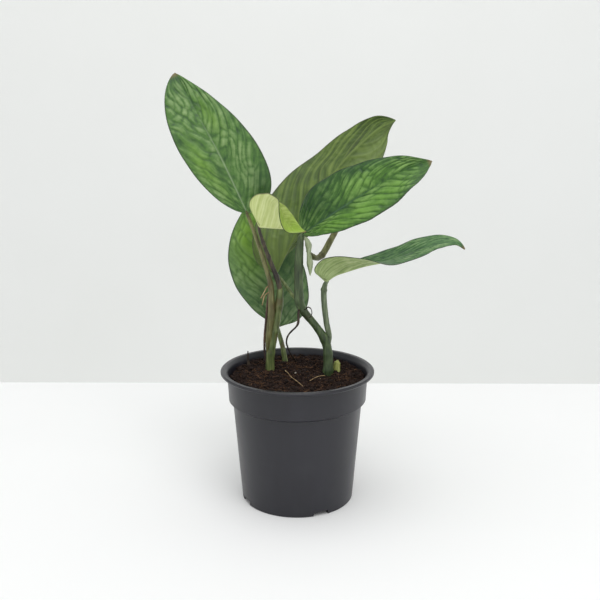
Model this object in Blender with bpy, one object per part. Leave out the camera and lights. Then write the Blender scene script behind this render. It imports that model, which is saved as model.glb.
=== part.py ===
"""A young climbing aroid in a round plastic nursery pot, built as separate solids.

Metres, +Z up. The origin is the middle of the pot's base, on the surface it stands on.
"""
import bpy
import bmesh
from math import cos, pi, radians, sin
from mathutils import Matrix, Vector
from mathutils.geometry import interpolate_bezier

MM = 0.001

# Pot: a thin-walled moulding with a stepped band and a flat flange round its mouth
POT_HEIGHT = 105 * MM
RIM_RADIUS = 60 * MM
FLANGE_INNER_RADIUS = 56.6 * MM
FLANGE_THICKNESS = 2.4 * MM
BAND_TOP_RADIUS = 55.0 * MM
BAND_FOOT_RADIUS = 53.8 * MM
BAND_FOOT_HEIGHT = 81.6 * MM
BODY_TOP_RADIUS = 50.6 * MM
BODY_TOP_HEIGHT = 79.6 * MM
BASE_RADIUS = 44.1 * MM
WALL = 1.2 * MM
FOOT_RING_INNER_RADIUS = 38.2 * MM
PAD_RADIUS = 15 * MM
BASE_STEP = 3.2 * MM
STEP_RUN = 1.4 * MM
POT_SIDES = 64

NOTCH_COUNT = 4
NOTCH_WIDTH = 12.4 * MM
NOTCH_HEIGHT = BASE_STEP
FIRST_NOTCH_ANGLE = radians(-65)
DRAIN_HOLE_COUNT = 8
DRAIN_HOLE_RADIUS = 3.5 * MM
DRAIN_HOLE_CIRCLE = 27 * MM

# Potting mix
GAP = 0.3 * MM
SOIL_TOP = 97.5 * MM
SOIL_SIDES = 40

# Leaves
BLADE_THICKNESS = 0.8 * MM
BLADE_ROWS = 18
BLADE_COLUMNS = 8
BLADE_END_HALF_WIDTH = 0.7 * MM

# Colours (linear)
BLACK_PLASTIC = (0.012, 0.013, 0.015)
PEAT = (0.022, 0.013, 0.009)
LEAF_GREEN = (0.06, 0.17, 0.035)
BACK_GREEN = (0.16, 0.25, 0.09)
YOUNG_GREEN = (0.55, 0.66, 0.22)
STEM_GREEN = (0.05, 0.10, 0.035)
STALK_GREEN = (0.10, 0.17, 0.05)
CUT_GREEN = (0.45, 0.50, 0.15)
ROOT_BROWN = (0.05, 0.03, 0.02)
DRY_TAN = (0.30, 0.20, 0.10)
PALE_ROOT = (0.55, 0.50, 0.42)


def clear_scene():
    for item in list(bpy.data.objects):
        bpy.data.objects.remove(item)


def material(name, colour, roughness):
    made = bpy.data.materials.get(name) or bpy.data.materials.new(name)
    made.use_nodes = True
    shader = made.node_tree.nodes["Principled BSDF"]
    shader.inputs["Base Color"].default_value = (*colour, 1.0)
    shader.inputs["Roughness"].default_value = roughness
    shader.inputs["Metallic"].default_value = 0.0
    return made


def add_object(name, data, finish):
    made = bpy.data.objects.new(name, data)
    bpy.context.collection.objects.link(made)
    data.materials.append(finish)
    return made


def mesh_object(name, bm, finish):
    mesh = bpy.data.meshes.new(name)
    bmesh.ops.recalc_face_normals(bm, faces=bm.faces)
    bm.to_mesh(mesh)
    bm.free()
    mesh.shade_smooth()
    mesh.set_sharp_from_angle(angle=radians(35))
    return add_object(name, mesh, finish)


def guide(made):
    made.hide_render = True
    made.display_type = "WIRE"
    return made


def subtract(target, cutter):
    cut = target.modifiers.new(f"less_{cutter.name}", "BOOLEAN")
    cut.operation = "DIFFERENCE"
    cut.solver = "EXACT"
    cut.object = cutter


def turned(name, profile, sides, finish):
    """Turn a closed outline, given as (radius, height) from axis to axis, about +Z."""
    bm = bmesh.new()
    points = [bm.verts.new((radius, 0, height)) for radius, height in profile]
    edges = [bm.edges.new(pair) for pair in zip(points, points[1:])]
    bmesh.ops.spin(
        bm, geom=points + edges, cent=(0, 0, 0), axis=(0, 0, 1), angle=2 * pi, steps=sides, use_merge=True
    )
    bmesh.ops.remove_doubles(bm, verts=bm.verts, dist=0.05 * MM)
    return mesh_object(name, bm, finish)


def cylinder(name, centre, radius, depth, sides, finish):
    bm = bmesh.new()
    bmesh.ops.create_cone(
        bm, cap_ends=True, segments=sides, radius1=radius, radius2=radius, depth=depth,
        matrix=Matrix.Translation(centre),
    )
    return mesh_object(name, bm, finish)


# ---------------------------------------------------------------- pot

def pot_profile():
    """The wall's outline: underside, outside, over the flange, and back down the inside."""
    pad, ring = PAD_RADIUS, FOOT_RING_INNER_RADIUS
    floor = BASE_STEP + WALL
    top = POT_HEIGHT
    under = top - FLANGE_THICKNESS
    soft = 0.5 * MM
    outside = [
        (0, 0), (pad, 0), (pad + STEP_RUN, BASE_STEP), (ring, BASE_STEP), (ring + STEP_RUN, 0),
        (BASE_RADIUS - soft, 0), (BASE_RADIUS, soft), (BODY_TOP_RADIUS, BODY_TOP_HEIGHT),
        (BAND_FOOT_RADIUS, BAND_FOOT_HEIGHT), (BAND_TOP_RADIUS, under - soft),
        (BAND_TOP_RADIUS + soft, under), (RIM_RADIUS - soft, under), (RIM_RADIUS, under + soft),
    ]
    inside = [
        (RIM_RADIUS, top - soft), (RIM_RADIUS - soft, top), (FLANGE_INNER_RADIUS, top),
        (FLANGE_INNER_RADIUS - 1.6 * MM, top - 1.1 * MM), (BAND_TOP_RADIUS - WALL, top - 3.6 * MM),
        (BAND_FOOT_RADIUS - WALL, BAND_FOOT_HEIGHT + soft), (BODY_TOP_RADIUS - WALL, BODY_TOP_HEIGHT + soft),
        (BASE_RADIUS - WALL, WALL), (ring + STEP_RUN + soft, WALL), (ring + soft, floor),
        (pad + STEP_RUN - soft, floor), (pad - soft, WALL), (0, WALL),
    ]
    return outside + inside


def make_pot():
    finish = material("black_plastic", BLACK_PLASTIC, 0.42)
    pot = turned("nursery_pot", pot_profile(), POT_SIDES, finish)
    subtract(pot, notch_cutter(finish))
    subtract(pot, drain_hole_cutter(finish))
    return pot


def notch_cutter(finish):
    """Slots through the foot ring, which let water out from under the pot."""
    bm = bmesh.new()
    middle = (FOOT_RING_INNER_RADIUS + BASE_RADIUS) / 2 + STEP_RUN
    for index in range(NOTCH_COUNT):
        turn = Matrix.Rotation(FIRST_NOTCH_ANGLE + index * 2 * pi / NOTCH_COUNT, 4, "Z")
        place = Matrix.Translation((0, -middle, 0))
        size = Matrix.Diagonal((NOTCH_WIDTH, 10 * MM, 2 * NOTCH_HEIGHT, 1))
        bmesh.ops.create_cube(bm, size=1, matrix=turn @ place @ size)
    return guide(mesh_object("notch_cutter", bm, finish))


def drain_hole_cutter(finish):
    bm = bmesh.new()
    for index in range(DRAIN_HOLE_COUNT):
        turn = Matrix.Rotation((index + 0.5) * 2 * pi / DRAIN_HOLE_COUNT, 4, "Z")
        place = Matrix.Translation((0, -DRAIN_HOLE_CIRCLE, BASE_STEP + WALL / 2))
        bmesh.ops.create_cone(
            bm, cap_ends=True, segments=16, radius1=DRAIN_HOLE_RADIUS, radius2=DRAIN_HOLE_RADIUS,
            depth=3 * WALL, matrix=turn @ place,
        )
    return guide(mesh_object("drain_hole_cutter", bm, finish))


# ---------------------------------------------------------------- soil

def soil_profile():
    floor = BASE_STEP + WALL + GAP
    slope = (BODY_TOP_RADIUS - BASE_RADIUS) / BODY_TOP_HEIGHT
    side = GAP + 0.2 * MM
    edge = BAND_TOP_RADIUS - WALL - side
    foot = BASE_RADIUS - WALL + floor * slope - side
    shoulder = BODY_TOP_RADIUS - WALL - side
    band = BAND_FOOT_RADIUS - WALL - side
    return [
        (0, floor), (foot, floor), (shoulder, BODY_TOP_HEIGHT - 0.5 * MM),
        (shoulder, BODY_TOP_HEIGHT + 1.4 * MM), (band, BAND_FOOT_HEIGHT + 1.4 * MM),
        (edge - 0.5 * MM, SOIL_TOP - 3 * MM), (edge - 2 * MM, SOIL_TOP - 0.9 * MM),
        (36 * MM, SOIL_TOP - 0.3 * MM), (18 * MM, SOIL_TOP), (0, SOIL_TOP),
    ]


def make_soil():
    finish = material("potting_mix", PEAT, 0.95)
    soil = turned("potting_soil", soil_profile(), SOIL_SIDES, finish)
    for name, foot, radius in SOCKETS:
        depth = SOCKET_DEPTH + 6 * MM
        centre = Vector((foot[0] * MM, foot[1] * MM, SOIL_TOP - SOCKET_DEPTH + depth / 2))
        subtract(soil, guide(cylinder(f"socket_{name}", centre, radius * MM, depth, 16, finish)))
    return soil


# ---------------------------------------------------------------- stems, stalks and roots

def smooth_path(points, steps):
    """Points along one smooth curve through the given ones, each with its last value eased too."""
    knots = [Vector(point[:3]) * MM for point in points]
    sizes = [point[3] for point in points]
    ends = [knots[0]] + knots + [knots[-1]]
    slopes = [(ends[i + 2] - ends[i]) / 6 for i in range(len(knots))]
    path = []
    for i in range(len(knots) - 1):
        part = interpolate_bezier(
            knots[i], knots[i] + slopes[i], knots[i + 1] - slopes[i + 1], knots[i + 1], steps + 1
        )
        for j, place in enumerate(part[:-1]):
            ease = j / steps
            path.append((place, sizes[i] * (1 - ease) + sizes[i + 1] * ease))
    path.append((knots[-1], sizes[-1]))
    return path


def tube(name, points, finish, steps=3, resolution=2):
    """A tapering round tube along a smooth path; each point is x, y, z and radius in millimetres."""
    curve = bpy.data.curves.new(name, "CURVE")
    curve.dimensions = "3D"
    curve.bevel_depth = MM
    curve.bevel_resolution = resolution
    curve.use_fill_caps = True
    path = smooth_path(points, steps)
    spline = curve.splines.new("POLY")
    spline.points.add(len(path) - 1)
    for point, (place, radius) in zip(spline.points, path):
        point.co = (*place, 1)
        point.radius = radius
    return add_object(name, curve, finish)


SOCKET_DEPTH = 18 * MM
SOCKETS = [
    ("stem_left", (-22.2, 16.4), 4.0),
    ("stem_right", (24.2, 7.6), 4.4),
    ("petiole_lower_left", (-10.2, 34.4), 2.7),
    ("cut_stub", (31.2, 14.4), 3.3),
]

STEMS = {
    "stem_left": [
        (-22.2, 16.4, 80, 3.4), (-22.2, 16.4, 97, 3.6), (-21.7, 16.5, 112, 3.4), (-18.4, 17.0, 130, 3.2),
        (-15.8, 17.0, 144, 3.1), (-14.3, 16.2, 156, 3.2), (-13.6, 15.3, 165, 2.4),
    ],
    "stem_right": [
        (24.2, 7.6, 80, 3.6), (24.2, 7.6, 97, 3.9), (24.2, 9.6, 113, 3.7), (21.6, 11.4, 125, 3.6),
        (13.6, 10.4, 137.6, 3.0), (4.4, 8.0, 149.6, 3.2), (1.6, 6.8, 156.0, 3.6),
    ],
    "petiole_right": [
        (1.2, 6.1, 159.9, 3.6), (0.9, 5.6, 175, 3.5), (1.2, 5.2, 190, 3.45), (2.0, 4.6, 202, 3.0),
        (3.5, 1.6, 209.0, 2.0),
    ],
    "petiole_low_right": [
        (25.8, 12.4, 131.0, 2.2), (22.8, 12.6, 139, 2.3), (20.9, 12.4, 155, 2.3), (20.6, 11.7, 164, 2.3),
        (21.4, 10.8, 169.4, 1.7),
    ],
    "petiole_back": [
        (-3.0, 11.2, 160.4, 1.3), (-7.5, 16.0, 165.5, 1.5), (-13.0, 21.0, 171.5, 1.4), (-16.8, 24.2, 175.0, 1.3),
    ],
    "petiole_lower_left": [
        (-10.2, 34.4, 80, 2.1), (-10.2, 34.4, 97, 2.2), (-12.4, 36.6, 111, 2.0), (-15.2, 39.2, 121, 1.9),
        (-16.2, 40.2, 125.4, 1.3),
    ],
    "petiole_upper_left": [
        (-25.2, 15.6, 122.0, 1.1), (-23.6, 15.2, 132, 2.1), (-22.4, 15.0, 144, 2.2), (-21.8, 14.0, 157, 2.2),
        (-21.3, 13.0, 169, 2.0), (-25.0, 11.0, 185.0, 1.8), (-30.8, 6.0, 205.5, 1.6), (-37.1, 0.7, 224.6, 1.2),
    ],
    "petiole_young": [
        (-14.2, 14.4, 167.6, 2.0), (-16.6, 12.8, 176.1, 1.9), (-20.8, 9.8, 187.8, 1.7), (-25.5, 4.8, 201.8, 1.5),
        (-28.4, -3.9, 216.3, 1.0),
    ],
    "side_shoot": [
        (10.4, 12.6, 193.0, 1.5), (14.5, 17.0, 189.8, 2.1), (19.5, 22.5, 191.5, 2.5), (26.0, 28.0, 202.0, 2.4),
        (33.0, 31.5, 214.0, 1.8),
    ],
    "furled_leaf": [
        (33.6, 31.8, 214.9, 1.3), (37.0, 32.8, 221, 2.4), (41.5, 33.6, 231, 2.1), (45.5, 34.0, 241, 0.5),
    ],
    "bud_sheath": [
        (6.7, 5.6, 206.2, 1.2), (8.4, 7.2, 201.5, 2.5), (8.8, 8.0, 195, 1.6), (9.6, 8.0, 187.5, 2.6),
        (9.8, 8.0, 177.6, 0.5),
    ],
    "dry_sheath": [
        (-26.3, 16.4, 110.0, 0.6), (-27.3, 15.6, 124.0, 0.8), (-26.6, 15.0, 138.0, 0.8), (-25.6, 14.4, 154.0, 0.4),
    ],
    "cut_stub": [
        (31.2, 14.4, 80, 2.7), (31.2, 14.4, 97, 2.8), (31.6, 14.6, 104.5, 2.8),
    ],
}

ROOTS = {
    "aerial_root_long": [
        (0.9, 2.6, 149.6, 0.8), (0.7, 1.0, 142.2, 0.9), (-1.1, 1.0, 138.2, 0.8), (-6.5, 2.0, 132.3, 0.7),
        (-8.6, 4.0, 126.1, 0.7), (-7.6, 9.0, 118.9, 0.6), (-5.8, 17.0, 112.4, 0.5), (-3.4, 29.0, 104.6, 0.45),
        (-1.2, 41.0, 98.6, 0.4),
    ],
    "aerial_root_curly": [
        (6.6, 3.9, 152.0, 0.45), (8.2, 3.0, 153.6, 0.45), (10.4, 2.0, 152.6, 0.4), (11.2, 1.8, 149.6, 0.4),
        (10.6, 2.0, 146.8, 0.35), (9.4, 2.4, 145.4, 0.3),
    ],
    "dry_root_left": [
        (-24.0, 11.4, 167.4, 0.5), (-26.0, 10.8, 163.6, 0.45), (-28.6, 10.4, 159.0, 0.35),
    ],
    "dry_root_low": [
        (-25.6, 11.4, 161.0, 0.45), (-26.8, 11.0, 157.0, 0.4), (-27.8, 10.8, 153.0, 0.3),
    ],
    "root_thread_front": [
        (-10.0, 12.0, 98.6, 0.4), (-7.2, 2.0, 98.5, 0.4), (-4.6, -6.6, 98.5, 0.4), (0.0, -17.0, 98.4, 0.4),
        (4.6, -26.0, 98.3, 0.35),
    ],
    "root_thread_right": [
        (21.4, -1.6, 98.5, 0.35), (17.6, -4.0, 98.5, 0.4), (13.6, -8.2, 98.4, 0.35), (9.6, -13.6, 98.4, 0.3),
    ],
    "bark_twig": [
        (-40.0, 24.0, 98.8, 1.2), (-40.6, 27.0, 104.0, 1.0), (-40.8, 29.6, 110.5, 0.5),
    ],
}


def make_stems():
    green = material("stem_green", STEM_GREEN, 0.45)
    stalk = material("stalk_green", STALK_GREEN, 0.45)
    cut = material("cut_green", CUT_GREEN, 0.6)
    finishes = {"stem_right": green, "petiole_right": green, "petiole_low_right": green, "cut_stub": cut}
    for name, points in STEMS.items():
        tube(name, points, finishes.get(name, stalk))


def make_roots():
    brown = material("root_brown", ROOT_BROWN, 0.7)
    tan = material("dry_tan", DRY_TAN, 0.8)
    pale = material("pale_root", PALE_ROOT, 0.7)
    finishes = {
        "dry_root_left": tan, "dry_root_low": tan, "root_thread_front": pale, "root_thread_right": pale,
    }
    for name, points in ROOTS.items():
        tube(name, points, finishes.get(name, brown), steps=2, resolution=1)


# ---------------------------------------------------------------- leaves

# Each blade: the midrib's points from stalk to tip, the way its upper face looks from base to tip,
# and for the left and right halves (seen on the upper face, tip up) the greatest half-width and the two
# powers that set how full the outline is towards the stalk and towards the tip. "fold" raises both halves
# about the midrib, in degrees from base to tip, and "ear" sweeps the widest part of the base back, in millimetres.
LEAVES = {
    "leaf_upper_left": dict(
        midrib=[(-37.8, 0, 226.9), (-50.4, -4, 255.8), (-60.1, -4, 276), (-73, 0, 299.3), (-82.8, 6, 316.2),
                (-90.4, 12, 329.1)],
        facing=[(0.15, -0.96, 0.24), (0.16, -0.97, 0.18)],
        left=(25.8, 0.76, 0.67), right=(29.3, 0.37, 0.95), fold=(9, 9), ear=4, colour=LEAF_GREEN,
    ),
    "leaf_right": dict(
        midrib=[(3.9, 0, 210.3), (15.5, -8, 219.8), (35.1, -14, 233.9), (50.8, -17, 244.4), (74.1, -20, 259),
                (96.5, -20, 266.9)],
        facing=[(-0.26, -0.76, 0.6), (0.01, -0.73, 0.68)],
        left=(28.3, 0.42, 0.92), right=(26.7, 0.98, 0.73), fold=(18, 18), ear=2, colour=LEAF_GREEN,
    ),
    "leaf_back": dict(
        midrib=[(-17.2, 25, 176.2), (-9.3, 30, 192.2), (0.2, 36, 208.2), (17.7, 44, 237.6), (36.1, 52, 261.6),
                (52.2, 57, 277.2), (65.9, 60, 288.2), (78.2, 62, 294.4)],
        facing=[(-0.6, 0.7, 0.35), (-0.1, 0.97, 0.1), (0.53, 0.85, -0.09), (0.72, 0.4, 0.57)],
        left=(28.0, 1.3, 0.9), right=(36.5, 0.46, 0.8), fold=(45, 12), ear=14, colour=BACK_GREEN,
    ),
    "leaf_lower_left": dict(
        midrib=[(-16.6, 41.0, 128.6), (-20.6, 46, 145.1), (-24.9, 52, 165), (-29.1, 58, 189.1), (-32.3, 61, 212),
                (-34.6, 62, 233.3)],
        facing=[(0.48, -0.86, 0.18), (0, -0.99, 0.16)],
        left=(30.5, 0.9, 0.91), right=(33.7, 0.38, 0.9), fold=(5, 5), ear=5, colour=LEAF_GREEN,
    ),
    "leaf_low_right": dict(
        midrib=[(22.4, 10, 172.9), (29.1, 10, 177.6), (36.8, 9, 180.6), (52, 7, 185.7), (67.2, 5, 189.2),
                (80.6, 3, 193.8), (96.8, 1, 200.7), (107.9, 0, 204), (119.2, 0, 204.4), (127, 0, 199.8)],
        facing=[(-0.4, 0.38, 0.92), (-0.2, 0.05, 1), (0, -0.3, 0.95), (0, -0.42, 0.9), (0, -0.45, 0.9)],
        left=(13.5, 1.0, 0.8), right=(23.0, 0.34, 1.1), fold=(50, 34, 14, 8, 6), ear=22, colour=BACK_GREEN,
    ),
    "leaf_young": dict(
        midrib=[(-27.8, -5, 217.8), (-19.5, -9, 217.6), (-10.5, -14, 217.6), (-1.6, -19, 217.2), (6.6, -23, 216.4)],
        facing=[(-0.2, 0.14, 1), (0, 0.14, 1), (0, 0.12, 1), (0, 0.05, 1), (0, -0.55, 0.85), (0, -0.45, 0.9)],
        left=(24.0, 0.4, 1.5), right=(28.0, 0.34, 0.6), fold=(70, 70, 68, 62, 32, 24), ear=18, colour=YOUNG_GREEN,
    ),
}


def half_width(along, widest, towards_stalk, towards_tip):
    """Outline of one half: zero at both ends, greatest where the two powers balance."""
    peak = towards_stalk / (towards_stalk + towards_tip)
    rise = (along / peak) ** towards_stalk
    fall = ((1 - along) / (1 - peak)) ** towards_tip
    return max(widest * MM * rise * fall, BLADE_END_HALF_WIDTH)


def between(values, along):
    """Read a list of values, evenly spaced from stalk to tip, at a fraction of the way along."""
    spot = along * (len(values) - 1)
    start = min(int(spot), len(values) - 2)
    return values[start] * (1 - spot + start) + values[start + 1] * (spot - start)


def midrib_frames(points, facing, rows):
    """At each row: its place, the direction along the midrib, across the blade, and off the upper face."""
    path = [place for place, _ in smooth_path([(*point, 1) for point in points], 12)]
    lengths = [0.0]
    for a, b in zip(path, path[1:]):
        lengths.append(lengths[-1] + (b - a).length)
    frames = []
    for row in range(rows + 1):
        along = row / rows
        target = along * lengths[-1]
        i = max(k for k in range(len(path) - 1) if lengths[k] <= target + 1e-9)
        place = path[i].lerp(path[i + 1], (target - lengths[i]) / (lengths[i + 1] - lengths[i]))
        before, after = path[max(i - 3, 0)], path[min(i + 4, len(path) - 1)]
        forward = (after - before).normalized()
        wanted = between([Vector(way) for way in facing], along)
        off = (wanted - wanted.dot(forward) * forward).normalized()
        frames.append((along, place, forward, forward.cross(off), off))
    return frames


def make_leaf(name, midrib, facing, left, right, fold, ear, colour):
    bm = bmesh.new()
    bmesh.ops.create_grid(bm, x_segments=BLADE_COLUMNS, y_segments=BLADE_ROWS, size=0.5)
    frames = midrib_frames(midrib, facing, BLADE_ROWS)
    for vert in bm.verts:
        along, place, forward, across, off = frames[round((vert.co.y + 0.5) * BLADE_ROWS)]
        side = vert.co.x * 2
        tilt = radians(between(fold, along))
        reach = abs(side) * half_width(along, *(right if side > 0 else left))
        lobe = reach / ((right if side > 0 else left)[0] * MM)
        sweep = ear * MM * lobe ** 1.3 * (1 - along) ** 4
        out = across * (reach * cos(tilt)) * (1 if side > 0 else -1)
        vert.co = place + out + off * (reach * sin(tilt)) - forward * sweep
    blade = mesh_object(name, bm, material(name, colour, 0.4))
    shell = blade.modifiers.new("thickness", "SOLIDIFY")
    shell.thickness = BLADE_THICKNESS
    shell.offset = 0
    return blade


def main():
    clear_scene()
    make_pot()
    make_soil()
    make_stems()
    make_roots()
    for name, shape in LEAVES.items():
        make_leaf(name, **shape)


main()
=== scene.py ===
# %% [markdown]
# # A young climbing plant in a nursery pot
# The lesson builds the looks of one houseplant: a black plastic pot, dark fibrous mix, two rooted
# stems with their leaf stalks and roots, and six leathery leaves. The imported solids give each
# piece its size and place, so the first step is to load them and to note the box they fill.

# %% Load the solids
from math import cos, pi, radians, sin

import bpy
import numpy as np
from mathutils import Matrix, Vector
from mathutils.bvhtree import BVHTree
from mathutils.geometry import interpolate_bezier


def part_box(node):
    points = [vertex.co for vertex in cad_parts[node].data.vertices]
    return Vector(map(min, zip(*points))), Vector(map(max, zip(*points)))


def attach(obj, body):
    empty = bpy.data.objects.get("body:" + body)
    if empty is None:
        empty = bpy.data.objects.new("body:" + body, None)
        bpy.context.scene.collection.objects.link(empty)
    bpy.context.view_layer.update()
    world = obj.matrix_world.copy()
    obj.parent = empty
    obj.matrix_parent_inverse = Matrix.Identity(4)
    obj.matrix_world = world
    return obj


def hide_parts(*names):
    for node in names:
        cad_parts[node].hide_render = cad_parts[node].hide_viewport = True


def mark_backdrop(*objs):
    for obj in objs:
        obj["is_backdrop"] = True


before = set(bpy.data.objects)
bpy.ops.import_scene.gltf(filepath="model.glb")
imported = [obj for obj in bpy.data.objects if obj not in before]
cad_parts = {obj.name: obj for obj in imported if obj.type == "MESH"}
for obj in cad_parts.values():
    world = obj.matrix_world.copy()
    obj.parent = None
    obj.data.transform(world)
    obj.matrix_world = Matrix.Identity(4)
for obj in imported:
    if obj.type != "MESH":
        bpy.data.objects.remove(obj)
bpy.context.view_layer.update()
MM = 0.001
print("solids to dress:", len(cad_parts))

# %% [markdown]
# Every step names, selects, modifies and finishes pieces in the same few ways, so those moves are
# written once here, together with a short way to put the nodes of a material together.


# %% Small helpers for every step
def deselect():
    if bpy.context.object and bpy.context.object.mode != "OBJECT":
        bpy.ops.object.mode_set(mode="OBJECT")
    bpy.ops.object.select_all(action="DESELECT")


def take(name):
    """Name the primitive that was just added."""
    piece = bpy.context.object
    piece.name = name
    piece.data.name = name
    return piece


def pick(piece):
    deselect()
    piece.select_set(True)
    bpy.context.view_layer.objects.active = piece
    return piece


def use_modifier(piece, kind, **settings):
    """Add one modifier to the piece, set it and apply it."""
    pick(piece)
    bpy.ops.object.modifier_add(type=kind)
    modifier = piece.modifiers[-1]
    for key, value in settings.items():
        setattr(modifier, key, value)
    bpy.ops.object.modifier_apply(modifier=modifier.name)
    return piece


def outward(piece):
    """Merge doubles and turn every face outwards."""
    pick(piece)
    bpy.ops.object.mode_set(mode="EDIT")
    bpy.ops.mesh.select_all(action="SELECT")
    bpy.ops.mesh.remove_doubles(threshold=0.01 * MM)
    bpy.ops.mesh.normals_make_consistent(inside=False)
    bpy.ops.object.mode_set(mode="OBJECT")
    return piece


def settle(piece, finish, slot_name, *nodes):
    """Give a finished piece its material, hang it under the root, and hide the solids it stands for."""
    if finish is not None:
        piece.data.materials.clear()
        piece.data.materials.append(finish)
    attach(piece, "root")
    if nodes:
        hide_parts(*nodes)
    print(piece.name, len(piece.data.polygons), "faces")
    return piece


# %% Helpers for materials
def colour(code):
    """A hex colour, as a maker would pick it, in the renderer's linear numbers."""
    parts = [int(code[i : i + 2], 16) / 255 for i in (1, 3, 5)]
    return tuple(p / 12.92 if p <= 0.04045 else ((p + 0.055) / 1.055) ** 2.4 for p in parts) + (1.0,)


class Finish:
    """A material whose nodes are added one call at a time, each fed by values or by other nodes."""

    def __init__(self, name, roughness=0.5):
        self.material = bpy.data.materials.new(name)
        self.material.use_nodes = True
        self.tree = self.material.node_tree
        self.shader = self.tree.nodes["Principled BSDF"]
        self.shader.inputs["Roughness"].default_value = roughness
        self.place = self.add("TexCoord").outputs["Object"]

    def add(self, kind, inputs=(), **settings):
        made = self.tree.nodes.new("ShaderNode" + kind)
        for key, value in settings.items():
            setattr(made, key, value)
        for key, value in dict(inputs).items():
            self.feed(made.inputs[key], value)
        return made

    def feed(self, socket, value):
        if isinstance(value, bpy.types.NodeSocket):
            self.tree.links.new(value, socket)
        else:
            socket.default_value = value

    def noise(self, scale, detail=3.0, stretch=None, roughness=0.55):
        """Cloudy values around 0.5; stretch squeezes the pattern along x, y and z."""
        place = self.place
        if stretch:
            place = self.add("Mapping", {"Vector": place, "Scale": stretch}).outputs[0]
        made = self.add("TexNoise", {
            "Vector": place, "Scale": scale, "Detail": detail, "Roughness": roughness})
        return made.outputs["Fac"]

    def ramp(self, value, *stops):
        """Colours along a value; each stop is a position and a hex colour or a grey."""
        made = self.add("ValToRGB", {"Fac": value})
        band = made.color_ramp.elements
        while len(band) < len(stops):
            band.new(0.5)
        for element, (where, shade) in zip(band, stops):
            element.position = where
            element.color = colour(shade) if isinstance(shade, str) else (shade, shade, shade, 1.0)
        return made.outputs["Color"]

    def mix(self, amount, under, over, blend="MIX"):
        made = self.add("Mix", data_type="RGBA", blend_type=blend)
        self.feed(made.inputs["Factor"], amount)
        for key, value in (("A", under), ("B", over)):
            socket = next(s for s in made.inputs if s.name == key and s.type == "RGBA")
            self.feed(socket, colour(value) if isinstance(value, str) else value)
        return next(s for s in made.outputs if s.type == "RGBA")

    def math(self, operation, a, b=0.5, clamp=False):
        made = self.add("Math", {0: a, 1: b}, operation=operation, use_clamp=clamp)
        return made.outputs[0]

    def read(self, name):
        """A value that the mesh carries at each point."""
        return self.add("Attribute", attribute_name=name, attribute_type="GEOMETRY").outputs["Fac"]

    def streaks(self, across, lengthwise, detail=3.0):
        """Cloudy values drawn out along the side veins of a leaf."""
        flow = self.add("CombineXYZ", {"X": self.math("MULTIPLY", self.read("lane"), across),
                                       "Y": self.math("MULTIPLY", self.read("side"), lengthwise)})
        made = self.add("TexNoise", {"Vector": flow.outputs[0], "Scale": 1.0, "Detail": detail})
        return made.outputs["Fac"]

    def paint(self, base, rough=None, height=None, depth=0.1 * MM, strength=1.0):
        self.feed(self.shader.inputs["Base Color"], base)
        if rough is not None:
            self.feed(self.shader.inputs["Roughness"], rough)
        if height is not None:
            bump = self.add("Bump", {"Height": height, "Distance": depth, "Strength": strength})
            self.feed(self.shader.inputs["Normal"], bump.outputs["Normal"])
        return self.material


# %% [markdown]
# A plain room: a white table top that ends some way behind the pot, a pale wall further back, and
# a pale floor below. The wall stands far enough away to walk round the plant. Large flat sheets
# are enough, and they are marked as the stage, not as part of the object. Their paint glows a
# little, in place of the light that a larger bright room would throw back on them.


# %% Table and wall
SHEET_SIZE = 6.0
WALL_GLOW = 0.118
TABLE_GLOW = 0.01
TABLE_EDGE = 0.276
WALL_DISTANCE = 1.5
FLOOR_DROP = 0.75


def sheet_material(name, light, dark, glow):
    """Paint or laminate with barely visible unevenness."""
    made = Finish(name, roughness=0.85)
    clouds = made.noise(2.2, detail=2.0)
    made.shader.inputs["Specular IOR Level"].default_value = 0.15
    made.shader.inputs["Emission Color"].default_value = (1.0, 1.0, 1.0, 1.0)
    made.shader.inputs["Emission Strength"].default_value = glow
    return made.paint(made.ramp(clouds, (0.3, dark), (0.7, light)))


def stage_sheet(name, place, turn, finish):
    deselect()
    bpy.ops.mesh.primitive_plane_add(size=SHEET_SIZE, location=place, rotation=turn)
    sheet = take(name)
    bpy.ops.object.transform_apply(location=True, rotation=True)
    sheet.data.materials.append(finish)
    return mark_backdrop(sheet)


wall_paint = sheet_material("pale_wall", "#F0F1EF", "#EDEEEB", WALL_GLOW)
table_paint = sheet_material("white_table", "#FBFBFA", "#F8F8F7", TABLE_GLOW)
stage_sheet("table_top", (0, TABLE_EDGE - SHEET_SIZE / 2, 0), (0, 0, 0), table_paint)
stage_sheet("room_wall", (0, WALL_DISTANCE, 1.5), (radians(90), 0, 0), wall_paint)
stage_sheet("room_floor", (0, 0, -FLOOR_DROP), (0, 0, 0), wall_paint)
print("stage ready: table edge", TABLE_EDGE, "m and wall", WALL_DISTANCE, "m behind the pot's centre")

# %% [markdown]
# Soft daylight comes from a wide window high in front and to the right, a second soft light hangs
# above, and an even pale sky fills the rest, so that there is hardly any cast shadow.

# %% Light and camera
SKY_STRENGTH = 0.66
sky = bpy.data.worlds.new("white_room")
bpy.context.scene.world = sky
sky.use_nodes = True
sky.node_tree.nodes["Background"].inputs["Color"].default_value = (0.97, 0.985, 1.0, 1.0)
sky.node_tree.nodes["Background"].inputs["Strength"].default_value = SKY_STRENGTH
bpy.context.scene.view_settings.view_transform = "Standard"


def soft_light(name, place, aim, size, power):
    deselect()
    bpy.ops.object.light_add(type="AREA", location=place)
    lamp = bpy.context.object
    lamp.name = name
    lamp.data.shape = "DISK"
    lamp.data.size = size
    lamp.data.energy = power
    lamp.rotation_euler = (Vector(aim) - Vector(place)).to_track_quat("-Z", "Y").to_euler()


soft_light("window", (0.6, -1.2, 1.7), (0, 0, 0.15), 1.6, 12)
soft_light("ceiling", (-0.3, -0.3, 2.0), (0, 0, 0), 1.8, 9)

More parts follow.
